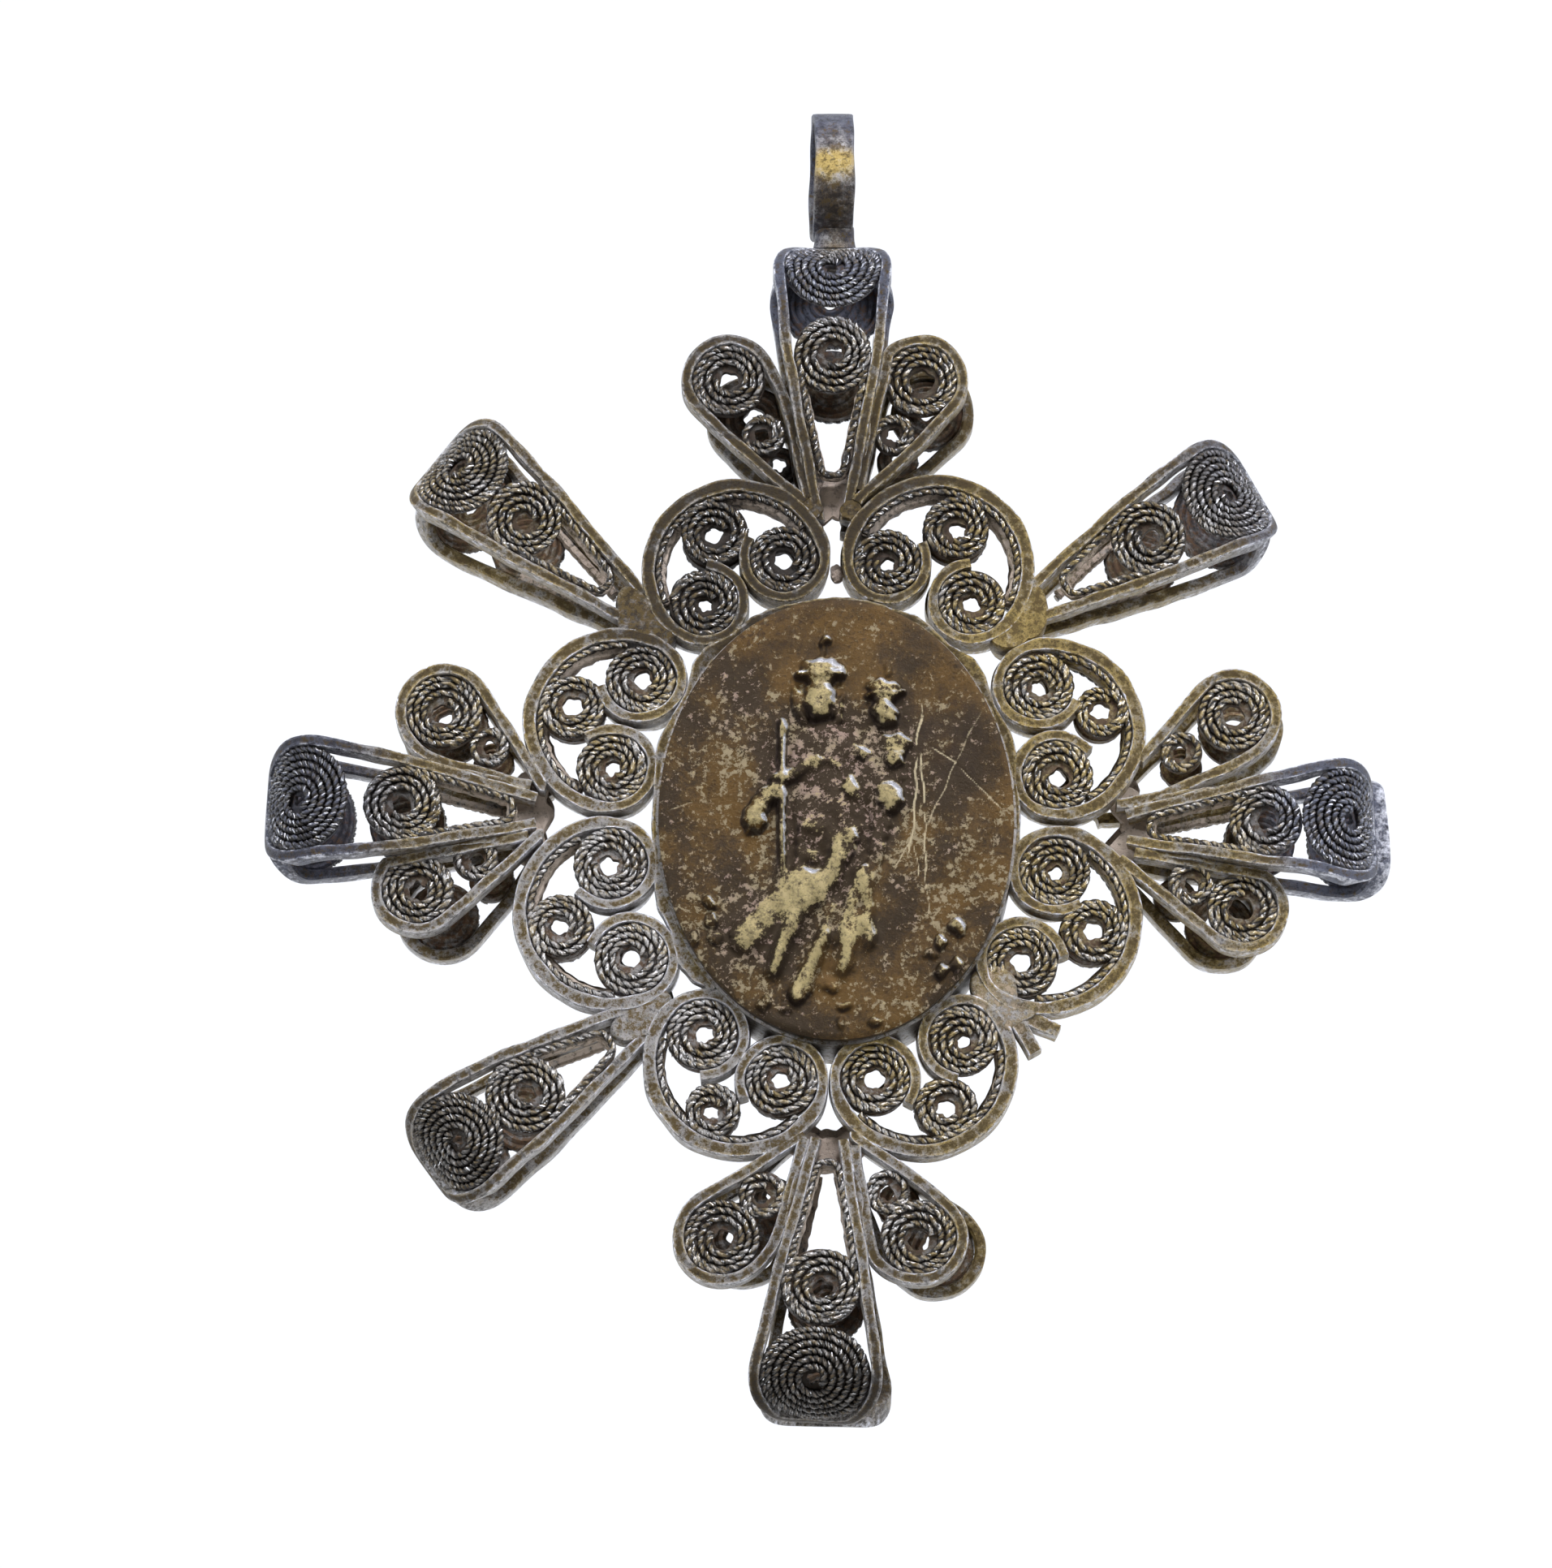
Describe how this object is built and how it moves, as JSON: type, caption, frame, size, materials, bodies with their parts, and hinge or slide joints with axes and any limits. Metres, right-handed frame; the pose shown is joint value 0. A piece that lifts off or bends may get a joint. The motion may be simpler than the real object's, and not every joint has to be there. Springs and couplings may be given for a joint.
{
  "type": "filigree pendant",
  "caption": "Two-faced filigree pendant lying flat: oval relief medallion in a wreath of scrolled lobes, with bent petals, flat side leaves and a round strap bail.",
  "frame": {"origin": "centre of the bounding box in X and Y, at its lowest point, where the pendant lies on its back", "axes": "+Y from the medallion towards the bail, +Z out of the front face, +X to the right of the face"},
  "size_m": [0.0594, 0.072, 0.0072],
  "materials": {
    "gilt_relief": "worn and tarnished gilding",
    "silver_collar": "dull silver",
    "silver_bail": "dark silver with a worn gilt band",
    "gilt_wreath": "worn gilding over tarnished silver",
    "gilt_petals": "worn gilding over blue-black tarnish",
    "gilt_leaves": "worn gilding over tarnished silver"
  },
  "bodies": {
    "root": {"medallion_front": "gilt_relief", "medallion_back": "gilt_relief", "collar": "silver_collar", "lattice_front": "gilt_wreath", "lattice_back": "gilt_wreath", "bail": "silver_bail", "petal_top": "gilt_petals", "petal_upper_right": "gilt_petals", "petal_right": "gilt_petals", "petal_bottom": "gilt_petals", "petal_lower_left": "gilt_petals", "petal_left": "gilt_petals", "petal_upper_left": "gilt_petals", "leaf_front_top_left": "gilt_leaves", "leaf_front_top_right": "gilt_leaves", "leaf_front_right_upper": "gilt_leaves", "leaf_front_right_lower": "gilt_leaves", "leaf_front_bottom_right": "gilt_leaves", "leaf_front_bottom_left": "gilt_leaves", "leaf_front_left_lower": "gilt_leaves", "leaf_front_left_upper": "gilt_leaves", "leaf_back_top_left": "gilt_leaves", "leaf_back_top_right": "gilt_leaves", "leaf_back_right_upper": "gilt_leaves", "leaf_back_right_lower": "gilt_leaves", "leaf_back_bottom_right": "gilt_leaves", "leaf_back_bottom_left": "gilt_leaves", "leaf_back_left_lower": "gilt_leaves", "leaf_back_left_upper": "gilt_leaves"}
  },
  "joints": []
}
